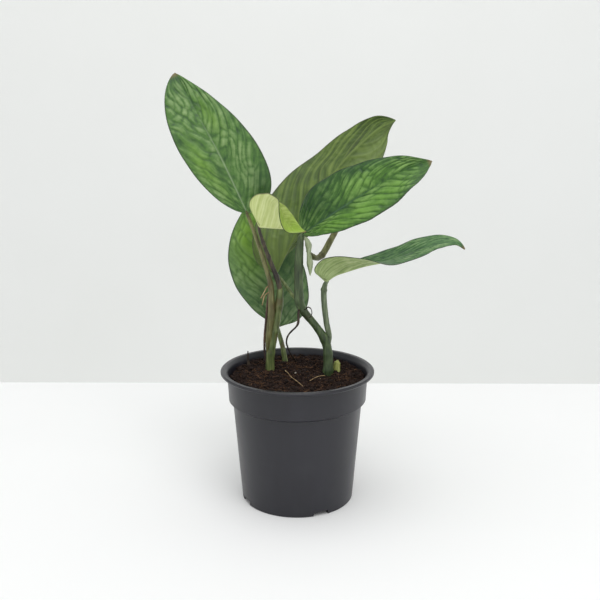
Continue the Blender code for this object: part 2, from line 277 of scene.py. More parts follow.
CAMERA_PLACE = (0.0072, -0.6279, 0.3041)
CAMERA_TURN = (radians(77.07), 0, radians(0.47))
LENS = 50.27
camera = bpy.data.objects.new("camera", bpy.data.cameras.new("camera"))
bpy.context.scene.collection.objects.link(camera)
camera.location = CAMERA_PLACE
camera.rotation_euler = CAMERA_TURN
camera.data.lens = LENS
camera.data.sensor_width = 36.0
camera.data.clip_start = 0.01
bpy.context.scene.camera = camera
print("camera set,", round(Vector(CAMERA_PLACE).length, 3), "m from the origin")

# %% [markdown]
# The pot is one injection-moulded piece of thin black plastic: a slotted foot ring, a body that
# widens upwards, a band that steps out, and a flat rolled rim. It could be turned with a spin,
# but raising one ring of edges step by step, as a potter would, keeps every step easy to read.

# %% Pot: the turned shell
POT_SIDES = 192
POT_HEIGHT, RIM_RADIUS, RIM_THICKNESS, WALL = 105.0, 60.0, 2.4, 1.2
BASE_STEP, STEP_RUN, PAD_RADIUS, RING_INNER = 3.2, 1.4, 15.0, 38.2
BASE_RADIUS, BODY_TOP = 44.1, (50.6, 79.6)
BAND_FOOT, BAND_TOP_RADIUS, RIM_INNER = (53.8, 81.6), 55.0, 56.6


def raise_rings(piece, steps):
    """Carry the selected ring through (radius, height) steps in millimetres, leaving a wall behind."""
    pick(piece)
    bpy.ops.object.mode_set(mode="EDIT")
    bpy.ops.mesh.select_all(action="SELECT")
    (radius, height), *rest = steps
    for next_radius, next_height in rest:
        bpy.ops.mesh.extrude_region_move(
            TRANSFORM_OT_translate={"value": (0, 0, (next_height - height) * MM)})
        share = next_radius / radius
        bpy.ops.transform.resize(value=(share, share, 1), center_override=(0, 0, 0))
        radius, height = next_radius, next_height
    bpy.ops.object.mode_set(mode="OBJECT")
    return outward(piece)


def first_ring(name, radius, height, sides):
    deselect()
    bpy.ops.mesh.primitive_circle_add(vertices=sides, radius=radius * MM, fill_type="NGON",
                                      location=(0, 0, height * MM))
    piece = take(name)
    bpy.ops.object.transform_apply(location=True)
    return piece


rim_under = POT_HEIGHT - RIM_THICKNESS
outside = [
    (PAD_RADIUS, 0), (PAD_RADIUS + STEP_RUN, BASE_STEP), (RING_INNER, BASE_STEP), (RING_INNER + STEP_RUN, 0),
    (BASE_RADIUS - 0.5, 0), (BASE_RADIUS, 0.5), (45.2, 12.7), (47.4, 39.9), BODY_TOP, BAND_FOOT,
    (54.2, 90), (BAND_TOP_RADIUS, rim_under - 0.6), (BAND_TOP_RADIUS + 0.6, rim_under),
    (RIM_RADIUS - 0.6, rim_under), (RIM_RADIUS, rim_under + 0.6),
]
inside = [
    (RIM_RADIUS, POT_HEIGHT - 0.8), (RIM_RADIUS - 0.9, POT_HEIGHT), (RIM_INNER, POT_HEIGHT - 0.05),
    (RIM_INNER - 1.6, POT_HEIGHT - 1.1), (BAND_TOP_RADIUS - WALL, POT_HEIGHT - 3.6),
    (BAND_FOOT[0] - WALL, BAND_FOOT[1] + 0.5), (BODY_TOP[0] - WALL, BODY_TOP[1] + 0.5),
    (BASE_RADIUS - WALL, WALL), (RING_INNER + STEP_RUN + 0.5, WALL), (RING_INNER + 0.5, BASE_STEP + WALL),
    (PAD_RADIUS + STEP_RUN - 0.5, BASE_STEP + WALL), (PAD_RADIUS - 0.5, WALL),
]
pot = first_ring("nursery_pot_shell", PAD_RADIUS, 0, POT_SIDES)
raise_rings(pot, outside + inside)
print("pot shell:", len(pot.data.polygons), "faces")


# %% Pot: water slots and drain holes
NOTCH_WIDTH, FIRST_NOTCH = 12.4, -65
HOLE_RADIUS, HOLE_CIRCLE = 3.5, 27.0


def cut_away(piece, cutter):
    use_modifier(piece, "BOOLEAN", operation="DIFFERENCE", solver="EXACT", object=cutter)
    bpy.data.objects.remove(cutter)


def ring_of(cutter, count, first, radius):
    """Copy a cutter around the axis and join the copies into one."""
    copies = []
    for index in range(count):
        turn = Matrix.Rotation(radians(first) + index * 2 * pi / count, 4, "Z")
        copy = bpy.data.objects.new(f"{cutter.name}_{index}", cutter.data.copy())
        copy.data.transform(turn @ Matrix.Translation((0, -radius * MM, 0)))
        bpy.context.scene.collection.objects.link(copy)
        copies.append(copy)
    bpy.data.objects.remove(cutter)
    deselect()
    for copy in copies:
        copy.select_set(True)
    bpy.context.view_layer.objects.active = copies[0]
    bpy.ops.object.join()
    return bpy.context.object


deselect()
bpy.ops.mesh.primitive_cube_add(size=1, scale=(NOTCH_WIDTH * MM, 10 * MM, 2 * BASE_STEP * MM))
notch = take("notch_cutter")
bpy.ops.object.transform_apply(scale=True)
cut_away(pot, ring_of(notch, 4, FIRST_NOTCH, (RING_INNER + BASE_RADIUS) / 2 + STEP_RUN))

deselect()
bpy.ops.mesh.primitive_cylinder_add(vertices=24, radius=HOLE_RADIUS * MM, depth=4 * MM,
                                    location=(0, 0, (BASE_STEP + WALL / 2) * MM))
hole = take("hole_cutter")
bpy.ops.object.transform_apply(location=True)
cut_away(pot, ring_of(hole, 8, 22.5, HOLE_CIRCLE))

use_modifier(pot, "BEVEL", width=0.28 * MM, segments=2, limit_method="ANGLE", angle_limit=radians(28))
outward(pot)
pick(pot)
bpy.ops.object.shade_smooth_by_angle(angle=radians(32))
print("pot with slots and holes:", len(pot.data.polygons), "faces")

# %% [markdown]
# Black polypropylene is never pure black: it is a charcoal with a soft sheen, faint streaks where
# the plastic flowed up the mould, a fine grain, and a dusting of dry mix on the rim.

# %% Pot: black plastic
plastic = Finish("black_moulded_plastic", roughness=0.4)
flow = plastic.noise(60, detail=4, stretch=(1, 1, 0.12))
grain = plastic.noise(2600, detail=2)
smudge = plastic.noise(38, detail=5)
height = plastic.add("SeparateXYZ", {"Vector": plastic.place}).outputs["Z"]
DUST_FROM, DUST_FULL = 0.1035, 0.1049
rim_dust = plastic.add("MapRange", {"Value": height, "From Min": DUST_FROM, "From Max": DUST_FULL})
near_rim = rim_dust.outputs["Result"]
body = plastic.ramp(flow, (0.3, "#1A1A21"), (0.7, "#212129"))
scuffed = plastic.mix(plastic.ramp(smudge, (0.52, 0.0), (0.75, 0.35)), body, "#303036")
speck = plastic.ramp(plastic.noise(900, detail=3), (0.60, 0.0), (0.68, 0.7))
dust = plastic.math("MULTIPLY", speck, near_rim)
pot_finish = plastic.paint(
    plastic.mix(dust, scuffed, "#584C44"),
    rough=plastic.ramp(smudge, (0.3, 0.30), (0.7, 0.42)),
    height=grain, depth=0.06 * MM, strength=0.35)
settle(pot, pot_finish, "black_plastic", "nursery_pot")

# %% [markdown]
# The pot is filled with a peat and coir mix: crumbly, full of fibres, level but never flat, and
# settled a little below the rim. The body is a raised plug whose top is closed ring by ring, so
# there are enough faces for displacement to push up lumps and hollows.

# %% Mix: the plug and its uneven top
SOIL_SIDES, SOIL_TOP, SOIL_EDGE = 220, 97.8, 53.4
BACK_SLOPE = 0.045
soil_steps = [
    (41.5, 4.8), (42.6, 8.0), (49.0, 79.4), (49.1, 80.6), (52.2, 83.2), (53.0, 92.0), (SOIL_EDGE, 94.4),
    (53.2, 95.9), (52.4, 96.8),
]
soil_steps += [(radius, SOIL_TOP - 0.012 * abs(radius - 25)) for radius in np.linspace(51.4, 0.5, 62)]
soil = first_ring("potting_mix_plug", *soil_steps[0], SOIL_SIDES)
raise_rings(soil, soil_steps)
for vert in soil.data.vertices:
    if vert.co.z > 95 * MM:
        vert.co.z += BACK_SLOPE * max(0.0, vert.co.y)


def lumps(name, size, kind="CLOUDS", depth=2):
    pattern = bpy.data.textures.new(name, kind)
    pattern.noise_scale = size * MM
    if kind == "CLOUDS":
        pattern.noise_depth = depth
    return pattern


top = soil.vertex_groups.new(name="top")
for vert in soil.data.vertices:
    inset = SOIL_EDGE * MM - vert.co.xy.length
    if vert.co.z > 95 * MM:
        top.add([vert.index], min(1.0, max(0.15, inset / (3 * MM))), "REPLACE")
for name, size, rise in (("hollows", 15, 3.4), ("clods", 5.0, 4.2), ("crumbs", 2.0, 2.8)):
    use_modifier(soil, "DISPLACE", texture=lumps(name, size), strength=rise * MM, mid_level=0.5,
                 direction="Z", vertex_group="top")
pick(soil)
bpy.ops.object.shade_smooth()
print("mix top:", len(soil.data.polygons), "faces")


# %% Mix: dark fibrous material
def soil_finish(name, dark, mid, light):
    made = Finish(name, roughness=0.95)
    made.shader.inputs["Specular IOR Level"].default_value = 0.2
    fine = made.noise(1500, detail=5)
    broad = made.noise(210, detail=4)
    base = made.ramp(broad, (0.32, dark), (0.52, mid), (0.72, light))
    speckle = made.ramp(fine, (0.42, 0.0), (0.68, 0.8))
    return made.paint(made.mix(speckle, base, light), height=fine, depth=0.5 * MM, strength=0.9)


peat = soil_finish("dark_peat", "#0B0807", "#19110F", "#33251F")
crumb_finish = soil_finish("peat_crumbs", "#120C0A", "#231814", "#40302A")
coir_finish = soil_finish("coir_strands", "#33221A", "#513828", "#856448")
settle(soil, peat, "potting_mix", "potting_soil")

# %% [markdown]
# On top lie loose crumbs, clods, strands of coir and a few white perlite grains. Each kind has a
# few model shapes, low in faces because so many are strewn, which are copied, turned, sized and
# set on the plug's surface. One seeded random source makes every run the same.

# %% Mix: strewing helper
rng = np.random.default_rng(7)
mix_surface = BVHTree.FromPolygons(
    [vert.co for vert in soil.data.vertices], [face.vertices for face in soil.data.polygons])


def surface_height(x, y):
    """The height of the mix under a point, in metres."""
    where = mix_surface.ray_cast(Vector((x, y, 0.12)), Vector((0, 0, -1)))[0]
    return where.z if where else SOIL_TOP * MM


def master_shape(piece):
    """Keep a modelled shape as its corners and faces, to be copied many times."""
    corners = np.array([vert.co for vert in piece.data.vertices])
    faces = [tuple(face.vertices) for face in piece.data.polygons]
    bpy.data.objects.remove(piece)
    return corners, faces


def strew(name, masters, count, sizes, sink, flat=1.0, keep_out=(), limit=50.6, spots=None):
    """Copies of a few master shapes lying on the mix, as one piece."""
    corners, faces, used = [], [], 0
    for index in range(count):
        if spots is None:
            reach, around = limit * np.sqrt(rng.random()), 2 * pi * rng.random()
            x, y = reach * cos(around), reach * sin(around)
        else:
            x, y = spots[index]
        if any((x - a) ** 2 + (y - b) ** 2 < r * r for a, b, r in keep_out):
            continue
        size = rng.uniform(*sizes) * MM
        shape, shape_faces = masters[int(rng.integers(len(masters)))]
        tilt = Matrix.Rotation(rng.uniform(-0.5, 0.5) if flat < 1 else rng.uniform(0, pi), 3, "X")
        spin = Matrix.Rotation(rng.uniform(0, 2 * pi), 3, "Z")
        squeeze = np.array((size, size * rng.uniform(0.6, 1.0), size * flat * rng.uniform(0.6, 1.0)))
        lift = surface_height(x * MM, y * MM) + size * flat * (0.5 - sink)
        corners.append((shape * squeeze) @ np.array(spin @ tilt).T + (x * MM, y * MM, lift))
        faces += [tuple(i + used for i in face) for face in shape_faces]
        used += len(shape)
    mesh = bpy.data.meshes.new(name)
    mesh.from_pydata(np.concatenate(corners).tolist(), [], faces)
    piece = bpy.data.objects.new(name, mesh)
    bpy.context.scene.collection.objects.link(piece)
    return piece


def rough_grain(name, faces_level, jitter):
    """One irregular grain about a unit across."""
    deselect()
    bpy.ops.mesh.primitive_ico_sphere_add(subdivisions=faces_level, radius=0.5)
    grain = take(name)
    for vert in grain.data.vertices:
        vert.co *= 1 + rng.uniform(-jitter, jitter)
    return master_shape(grain)


STEM_FEET = ((-22.2, 16.4, 4.2), (24.2, 7.6, 4.6), (-10.2, 34.4, 3.0), (31.2, 14.4, 3.4))

# %% Mix: crumbs, clods and perlite
CRUMB_COUNT, CLOD_COUNT, STRAND_COUNT = 4200, 170, 900
crumb_shapes = [rough_grain(f"crumb_shape_{i}", 1, 0.34) for i in range(6)]
crumbs = strew("mix_crumbs", crumb_shapes, CRUMB_COUNT, (0.7, 2.6), 0.2, keep_out=STEM_FEET, limit=52.4)
settle(crumbs, crumb_finish, "potting_mix")
clod_shapes = [rough_grain(f"clod_shape_{i}", 2, 0.2) for i in range(4)]
clods = strew(
    "mix_clods", clod_shapes, CLOD_COUNT, (2.4, 5.0), 0.3, flat=0.7, keep_out=STEM_FEET, limit=49.5)
pick(clods)
bpy.ops.object.shade_smooth()
settle(clods, peat, "potting_mix")

white_grit = Finish("white_perlite", roughness=0.8)
grain_tone = white_grit.noise(900, detail=3)
perlite_finish = white_grit.paint(
    white_grit.ramp(grain_tone, (0.3, "#8F8678"), (0.6, "#D2CBBE")),
    height=grain_tone, depth=0.2 * MM, strength=0.6)
perlite_spots = [(5.4, 12.0), (7.0, 17.5), (-1.5, 4.0), (18.0, -3.4), (-6.0, -24.0), (-32.0, 2.0),
                 (40.0, 14.0), (-26.0, 32.0), (28.0, -20.0)]
perlite = strew("perlite_grains", clod_shapes, len(perlite_spots), (1.0, 1.9), 0.35, spots=perlite_spots)
settle(perlite, perlite_finish, "potting_mix")


# %% Mix: strands of coir
def strand_shape(name, bend):
    """A thin strand along x, one unit long, made from a ring carried along and bent."""
    deselect()
    bpy.ops.mesh.primitive_circle_add(
        vertices=4, radius=0.022, fill_type="NGON", rotation=(0, radians(90), 0), location=(-0.5, 0, 0))
    strand = take(name)
    bpy.ops.object.transform_apply(location=True, rotation=True)
    bpy.ops.object.mode_set(mode="EDIT")
    bpy.ops.mesh.select_all(action="SELECT")
    for step in range(6):
        swing = bend * sin(step * 1.15)
        bpy.ops.mesh.extrude_region_move(TRANSFORM_OT_translate={"value": (1 / 6, swing, 0.5 * swing)})
    bpy.ops.object.mode_set(mode="OBJECT")
    return master_shape(outward(strand))


strand_shapes = [strand_shape(f"strand_shape_{i}", bend) for i, bend in enumerate((0.03, -0.06, 0.09, -0.11))]
strands = strew(
    "coir_strands", strand_shapes, STRAND_COUNT, (3.0, 10.0), 0.4, flat=0.8, keep_out=STEM_FEET, limit=47.0)
settle(strands, coir_finish, "potting_mix")

# %% [markdown]
# Stems, leaf stalks and roots are all round and tapering, and all grow along a smooth line. A
# skinned chain of edges would do, but a curve with a round bevel follows its points exactly and
# takes a thickness at each of them. Extra points inside a neighbour make two parts look grown
# together. The routes follow the points the solids were made from, in millimetres, with a few
# more where two parts join.


# %% Stems: smooth routes and tapering tubes
def smooth_path(points, steps):
    """Points along one smooth curve through the given ones, each with its last value eased too."""
    knots = [Vector(point[:3]) * MM for point in points]
    sizes = [point[3] for point in points]
    ends = [knots[0]] + knots + [knots[-1]]
    slopes = [(ends[i + 2] - ends[i]) / 6 for i in range(len(knots))]
    path = []
    for i in range(len(knots) - 1):
        part = interpolate_bezier(
            knots[i], knots[i] + slopes[i], knots[i + 1] - slopes[i + 1], knots[i + 1], steps + 1)
        for j, place in enumerate(part[:-1]):
            ease = j / steps
            path.append((place, sizes[i] * (1 - ease) + sizes[i + 1] * ease))
    path.append((knots[-1], sizes[-1]))
    return path


def swelling(height, rings):
    """How much thicker the stem is at its nodes; a ring is a height, a rise and a half-width, in mm."""
    return sum(rise * np.exp(-(((height - at) / half) ** 2)) for at, rise, half in rings)


def tube(name, points, rings=(), steps=14, sides=5):
    """A bevelled curve along the route, made a mesh."""
    deselect()
    bpy.ops.curve.primitive_bezier_curve_add()
    piece = take(name)
    curve = piece.data
    curve.splines.clear()
    curve.dimensions = "3D"
    curve.bevel_depth = MM
    curve.bevel_resolution = sides
    curve.use_fill_caps = True
    path = smooth_path(points, steps)
    spline = curve.splines.new("POLY")
    spline.points.add(len(path) - 1)
    for point, (place, radius) in zip(spline.points, path):
        point.co = (*place, 1)
        point.radius = radius + swelling(place.z / MM, rings)
    bpy.ops.object.convert(target="MESH")
    outward(piece)
    pick(piece)
    bpy.ops.object.shade_smooth_by_angle(angle=radians(50))
    return piece


def wrinkle(piece, size, rise):
    """Fine unevenness of a grown surface."""
    return use_modifier(piece, "DISPLACE", texture=lumps(f"{piece.name}_skin", size), strength=rise * MM,
                        mid_level=0.5)


# %% [markdown]
# Living stems are satin, with lengthwise streaks, darker patches, brown scar marks here and there
# and small corky specks. The pattern is a noise stretched along the height,
# because these stems stand mostly upright.


# %% Stems: materials
def stem_finish(name, dark, mid, light, scar="#5A4A32", scars=0.0, rough=0.42):
    made = Finish(name, roughness=rough)
    streak = made.noise(420, detail=3, stretch=(1, 1, 0.14))
    patch = made.noise(75, detail=3)
    fleck = made.noise(700, detail=2)
    base = made.ramp(streak, (0.32, dark), (0.5, mid), (0.72, light))
    shaded = made.mix(made.ramp(patch, (0.45, 0.0), (0.7, 0.55)), base, dark)
    marks = made.ramp(patch, (0.60 - 0.2 * scars, 0.0), (0.70 - 0.2 * scars, min(1.0, 0.15 + scars)))
    marked = made.mix(marks, shaded, scar)
    dotted = made.mix(made.ramp(fleck, (0.66, 0.0), (0.74, 0.5)), marked, scar)
    return made.paint(dotted, height=streak, depth=0.25 * MM, strength=0.5)


olive_stem = stem_finish("olive_stem", "#455430", "#62713E", "#8A955E", scar="#6A4A34", scars=0.25)
deep_stem = stem_finish("deep_green_stem", "#2C3B22", "#40522F", "#5E7148", scars=0.05)
grey_stem = stem_finish("grey_green_stem", "#45523A", "#5F6E50", "#8B9878", scars=0.05)
grey_stalk = stem_finish("tan_green_stalk", "#4C4A2A", "#69683C", "#8C8A58", scar="#5C4A2C", scars=0.25)
dark_stalk = stem_finish("dark_stalk", "#2A2520", "#3E352A", "#675C44", scar="#1F1814", scars=0.45)
brown_shoot = stem_finish("brown_green_shoot", "#5A5C38", "#7A7A4C", "#9DA06C", scars=0.25)
pale_bud = stem_finish(
    "pale_bud_sheath", "#8FA176", "#B5C298", "#D7DEC0", scar="#8A6A48", scars=0.05, rough=0.5)
new_leaf = stem_finish("rolled_new_leaf", "#7C9448", "#9DB060", "#C0CC86", scars=0.0)
cut_end = stem_finish("pale_cut_stem", "#8C9A48", "#B3B968", "#D6D694", scar="#8A7A46", scars=0.1, rough=0.6)
dry_skin = stem_finish(
    "dry_purple_sheath", "#33241F", "#4C3730", "#7A5C4A", scar="#241714", scars=0.3, rough=0.75)
dark_root = stem_finish("dark_root", "#1A1310", "#2C211A", "#4A3A2C", scar="#1A1310", scars=0.2, rough=0.7)
pale_root = stem_finish("pale_root", "#8C7150", "#B0936A", "#D0B88E", scars=0.1, rough=0.7)
bark_skin = stem_finish("weathered_bark", "#14100D", "#231B16", "#3C3028", scars=0.3, rough=0.9)

# %% Stems: routes of the stems and leaf stalks
STEMS = {
    "stem_left": (olive_stem, "stem", [
        (-22.2, 16.4, 86, 3.4), (-22.2, 16.4, 97, 3.8), (-21.7, 16.5, 112, 3.4), (-18.4, 17.0, 130, 3.2),
        (-15.8, 17.0, 144, 3.1), (-14.3, 16.2, 156, 3.2), (-13.8, 15.2, 165, 2.5), (-14.4, 14.4, 169, 1.2)],
        [(112, 0.25, 2), (131, 0.5, 2.2), (152, 0.45, 2.5)]),
    "stem_right": (deep_stem, "stem_dark", [
        (24.2, 7.6, 86, 3.6), (24.2, 7.6, 97, 4.2), (24.2, 9.6, 113, 3.7), (21.6, 11.4, 125, 3.5),
        (13.6, 10.4, 137.6, 2.9), (4.4, 8.0, 149.6, 3.2), (1.4, 6.6, 157.5, 3.7), (1.2, 6.1, 162, 3.2)],
        [(101, 0.4, 2.5), (114, 0.3, 2.4), (126, 0.5, 2.6), (150, 0.35, 2.4)]),
    "petiole_right": (deep_stem, "stem_dark", [
        (1.6, 6.6, 154.5, 2.8), (1.2, 6.1, 159.9, 3.55), (0.9, 5.6, 175, 3.5), (1.2, 5.2, 190, 3.4),
        (2.0, 4.4, 202, 2.9), (3.3, 1.8, 208.8, 2.1), (5.2, -1.0, 211.4, 1.2)],
        [(161, 0.3, 2.0), (183, 0.15, 3)]),
    "petiole_low_right": (grey_stem, "stem_dark", [
        (24.6, 11.6, 121.0, 1.5), (24.9, 12.2, 128.0, 2.3), (22.8, 12.6, 139, 2.35), (20.9, 12.4, 155, 2.3),
        (20.6, 11.7, 164, 2.3), (21.6, 10.6, 170.0, 1.9), (23.6, 10.2, 173.2, 1.1)],
        [(165.5, 0.45, 1.2)]),
    "petiole_back": (olive_stem, "stem", [
        (0.6, 7.6, 157.0, 1.2), (-3.0, 11.2, 160.4, 1.4), (-7.5, 16.0, 165.5, 1.5), (-13.0, 21.0, 171.5, 1.4),
        (-17.2, 24.8, 175.8, 1.3), (-16.0, 26.0, 179.0, 0.9)], []),
    "petiole_lower_left": (olive_stem, "stem", [
        (-10.2, 34.4, 86, 2.1), (-10.2, 34.4, 97, 2.3), (-12.4, 36.6, 111, 2.0), (-15.2, 39.2, 121, 1.9),
        (-16.4, 40.4, 126.6, 1.4), (-17.0, 41.6, 130.5, 0.9)], [(99, 0.3, 2)]),
    "petiole_upper_left": (grey_stalk, "stalk_brown", [
        (-22.8, 16.2, 108.0, 1.2), (-23.4, 15.8, 118.0, 2.2), (-22.8, 15.4, 128.0, 2.8),
        (-22.0, 15.2, 136, 2.9),
        (-20.8, 14.8, 146, 3.0), (-20.6, 14.0, 158, 2.7), (-21.0, 13.0, 169, 2.1),
        (-25.0, 11.0, 185.0, 1.8), (-30.8, 6.0, 205.5, 1.6), (-37.1, 0.7, 224.6, 1.3),
        (-38.6, -0.4, 228.6, 0.9)],
        [(168, 0.35, 2), (190, 0.15, 3)]),
    "petiole_young": (dark_stalk, "stalk_dark", [
        (-14.0, 15.0, 163.5, 1.6), (-14.2, 14.4, 167.6, 2.1), (-16.6, 12.8, 176.1, 1.9),
        (-20.8, 9.8, 187.8, 1.7),
        (-25.5, 4.8, 201.8, 1.5), (-28.8, -3.0, 215.6, 1.1), (-27.6, -4.8, 217.6, 0.8)],
        [(176, 0.3, 1.6), (192, 0.3, 1.3), (204, 0.25, 1.2)]),
    "side_shoot": (brown_shoot, "stalk_brown", [
        (7.8, 8.4, 197.0, 1.3), (10.4, 12.0, 193.0, 1.9), (14.5, 17.0, 189.8, 2.2), (19.5, 22.5, 191.5, 2.6),
        (26.0, 28.0, 202.0, 2.5), (33.2, 31.6, 214.2, 1.9), (34.8, 32.2, 217, 1.2)],
        [(191.2, 0.4, 0.8)]),
    "furled_leaf": (new_leaf, "young_leaf", [
        (32.6, 31.4, 213.0, 0.8), (33.6, 31.8, 214.9, 1.4), (37.0, 32.8, 221, 2.4), (41.5, 33.6, 231, 2.1),
        (45.5, 34.0, 241, 0.3)], []),
    "bud_sheath": (pale_bud, "pale_sheath", [
        (5.0, 4.6, 207.4, 0.8), (6.7, 5.6, 206.2, 1.5), (8.4, 7.2, 201.5, 2.6), (8.8, 8.0, 195, 1.6),
        (9.6, 8.0, 187.5, 2.6), (9.8, 8.0, 181.6, 1.5), (9.9, 8.0, 177.4, 0.2)], []),
    "dry_sheath": (dry_skin, "dry_sheath", [
        (-25.4, 16.0, 104.0, 0.5), (-26.3, 15.8, 112.0, 0.8), (-26.4, 15.4, 124.0, 0.9),
        (-25.2, 14.8, 138.0, 0.9),
        (-23.8, 14.2, 154.0, 0.7), (-22.6, 13.6, 163.0, 0.4)],
        []),
    "cut_stub": (cut_end, "cut_stem", [
        (31.2, 14.4, 86, 2.7), (31.2, 14.4, 97, 2.9), (31.6, 14.6, 104.3, 2.7),
        (31.6, 14.6, 104.6, 2.2)], []),
}

# %% Stems: build them
for piece_name, (finish, slot_name, route, rings) in STEMS.items():
    piece = tube(piece_name + "_grown", route, rings)
    wrinkle(piece, 3.2, 0.35)
    settle(piece, finish, slot_name, piece_name)

# %% [markdown]
# Roots that grow in the air are thin, wiry and dark; old ones dry to straw. They are tubes too,
# but crooked, so a little noise bends them after they are made.

# %% Roots: routes
ROOTS = {
    "aerial_root_long": (dark_root, "root_dark", [
        (1.2, 5.0, 150.6, 0.9), (0.9, 2.6, 149.6, 0.9), (0.7, 1.0, 142.2, 0.9), (-1.1, 1.0, 138.2, 0.8),
        (-6.5, 2.0, 132.3, 0.7), (-8.6, 4.0, 126.1, 0.7), (-7.6, 9.0, 118.9, 0.6), (-5.8, 17.0, 112.4, 0.5),
        (-3.4, 29.0, 104.6, 0.45), (-1.2, 41.0, 97.6, 0.4)]),
    "aerial_root_curly": (dark_root, "root_dark", [
        (4.4, 5.6, 150.4, 0.5), (6.6, 3.9, 152.0, 0.45), (8.2, 3.0, 153.6, 0.45), (10.4, 2.0, 152.6, 0.4),
        (11.2, 1.8, 149.6, 0.4), (10.6, 2.0, 146.8, 0.35), (9.4, 2.4, 145.4, 0.3)]),
    "dry_root_left": (pale_root, "root_pale", [
        (-21.6, 12.6, 168.6, 0.5), (-24.0, 11.4, 167.4, 0.5), (-26.0, 10.8, 163.6, 0.45),
        (-28.6, 10.4, 159.0, 0.3)]),
    "dry_root_low": (pale_root, "root_pale", [
        (-22.4, 12.8, 163.4, 0.5), (-25.6, 11.4, 161.0, 0.45), (-26.8, 11.0, 157.0, 0.4),
        (-27.8, 10.8, 153.0, 0.3)]),
    "root_thread_front": (pale_root, "root_pale", [
        (-10.0, 12.0, 99.4, 0.28), (-7.2, 2.0, 100.2, 0.28), (-4.6, -6.6, 100.0, 0.28),
        (0.0, -17.0, 100.0, 0.25),
        (4.6, -26.0, 99.0, 0.22)]),
    "root_thread_right": (pale_root, "root_pale", [
        (21.4, -1.6, 99.6, 0.24), (17.6, -4.0, 100.0, 0.26), (13.6, -8.2, 99.9, 0.24),
        (9.6, -13.6, 99.2, 0.2)]),
    "bark_twig": (bark_skin, "bark", [
        (-40.0, 24.0, 96.6, 1.2), (-40.0, 24.6, 98.8, 1.2), (-40.6, 27.0, 104.0, 1.0),
        (-40.8, 29.6, 110.5, 0.4)]),
}

# %% Roots: build them
for piece_name, (finish, slot_name, route) in ROOTS.items():
    piece = tube(piece_name + "_grown", route, steps=10, sides=3)
    wrinkle(piece, 4.0, 0.5)
    settle(piece, finish, slot_name, piece_name)

# %% [markdown]
# The leaves are the heart of this plant: thick, oval, pointed, folded about the midrib, and
# quilted. Sunken side veins leave the midrib and sweep to the tip, and the blade puffs up
# between them. A plane, subdivided, could be sculpted by hand, but the same quilting also has
# to steer the colours. So a fine grid is laid along a curved midrib by a function, the quilting
# is worked out once for every point, kept on the mesh, and used twice: by a Displace modifier
# for the shape and by the material for the colour.

# %% Leaves: where each row of the blade lies
ROWS, COLUMNS = 176, 72
END_HALF_WIDTH = 0.35


def half_width(along, widest, towards_stalk, towards_tip):
    """Outline of one half in millimetres: greatest where the two powers balance."""
    peak = towards_stalk / (towards_stalk + towards_tip)
    rise = (along / peak) ** towards_stalk
    fall = ((1 - along) / (1 - peak)) ** towards_tip
    return np.maximum(widest * rise * fall, END_HALF_WIDTH)


def along_list(values, along):
    """Values evenly spaced from stalk to tip, read at each fraction and rounded off between them."""
    values = np.array(values, float)
    table = values.reshape(len(values), -1)
    spots = np.linspace(0, 1, len(values))
    read = np.stack([np.interp(along, spots, column) for column in table.T], axis=1)
    reach = max(3, len(along) // 10)
    padded = np.pad(read, ((reach, reach), (0, 0)), mode="reflect", reflect_type="odd")
    window = np.hanning(2 * reach + 1)
    soft = np.stack([np.convolve(column, window / window.sum(), "valid") for column in padded.T], axis=1)
    return soft[:, 0] if values.ndim == 1 else soft


def unit(vectors):
    return vectors / np.linalg.norm(vectors, axis=-1, keepdims=True)


def midrib_frames(points, facing):
    """For each row: its place, the way along, the way across and the way off the upper face, in mm."""
    path = np.array([tuple(place / MM) for place, _ in smooth_path([(*p, 1) for p in points], 24)])
    lengths = np.concatenate([[0], np.cumsum(np.linalg.norm(np.diff(path, axis=0), axis=1))])
    along = np.linspace(0, 1, ROWS + 1)
    place = np.stack([np.interp(along * lengths[-1], lengths, axis) for axis in path.T], axis=1)
    forward = unit(np.gradient(place, axis=0))
    wanted = along_list(facing, along)
    off = unit(wanted - np.sum(wanted * forward, axis=1, keepdims=True) * forward)
    return along, place, forward, np.cross(forward, off), off, lengths[-1]


# %% [markdown]
# The quilting has three parts: side veins that start along the midrib and sweep forward, short
# cross veins between them, and a soft dome in each cell. A few slow waves bend the pattern so
# that no two cells are the same.


# %% Leaves: veins and quilting
def waver(x, y, seed, count=6):
    """A slow, smooth, repeatable wobble between about -1 and 1."""
    source = np.random.default_rng(seed)
    total = 0
    for _ in range(count):
        a, b, phase = source.uniform(-1, 1), source.uniform(-1, 1), source.uniform(0, 2 * pi)
        total = total + np.sin(a * x + b * y + phase)
    return total / count ** 0.5


def quilting(along, side, width, length, veins, sweep, cells, seed):
    """Side veins and domed cells for one half: how domed, how near a vein, and which lane between veins."""
    reach = np.abs(side)
    slow_bend = waver(along * length / 7, side * width / 6, seed)
    bend = slow_bend + 0.5 * waver(along * length / 2.6, side * width / 3, seed + 5)
    start = along - sweep * reach ** 1.2 * (1 - 0.35 * along) + 0.022 * bend
    lane = veins * start
    edge = np.abs(lane - np.round(lane)) * 2
    strong = np.where(np.round(lane) % 2 == 0, 1.0, 0.55)
    vein = strong * np.exp(-((edge / 0.20) ** 2))
    step = cells * reach * (0.8 + 0.2 * np.cos(lane)) + 0.5 * (np.floor(lane) % 2) + 0.7 * waver(
        along * length / 4, side * width / 4, seed + 1)
    cross = 0.6 * np.exp(-((np.abs(step - np.round(step)) * 2 / 0.26) ** 2))
    dome = np.sqrt(np.clip(np.sin(pi * (lane % 1)), 0, 1)) * (0.5 + 0.5 * np.sin(pi * (step % 1)))
    dome = dome * (0.75 + 0.35 * waver(along * length / 4, side * width / 4, seed + 2))
    return np.clip(dome - 0.5 * cross, 0, 1), np.clip(vein + 0.45 * cross, 0, 1), lane


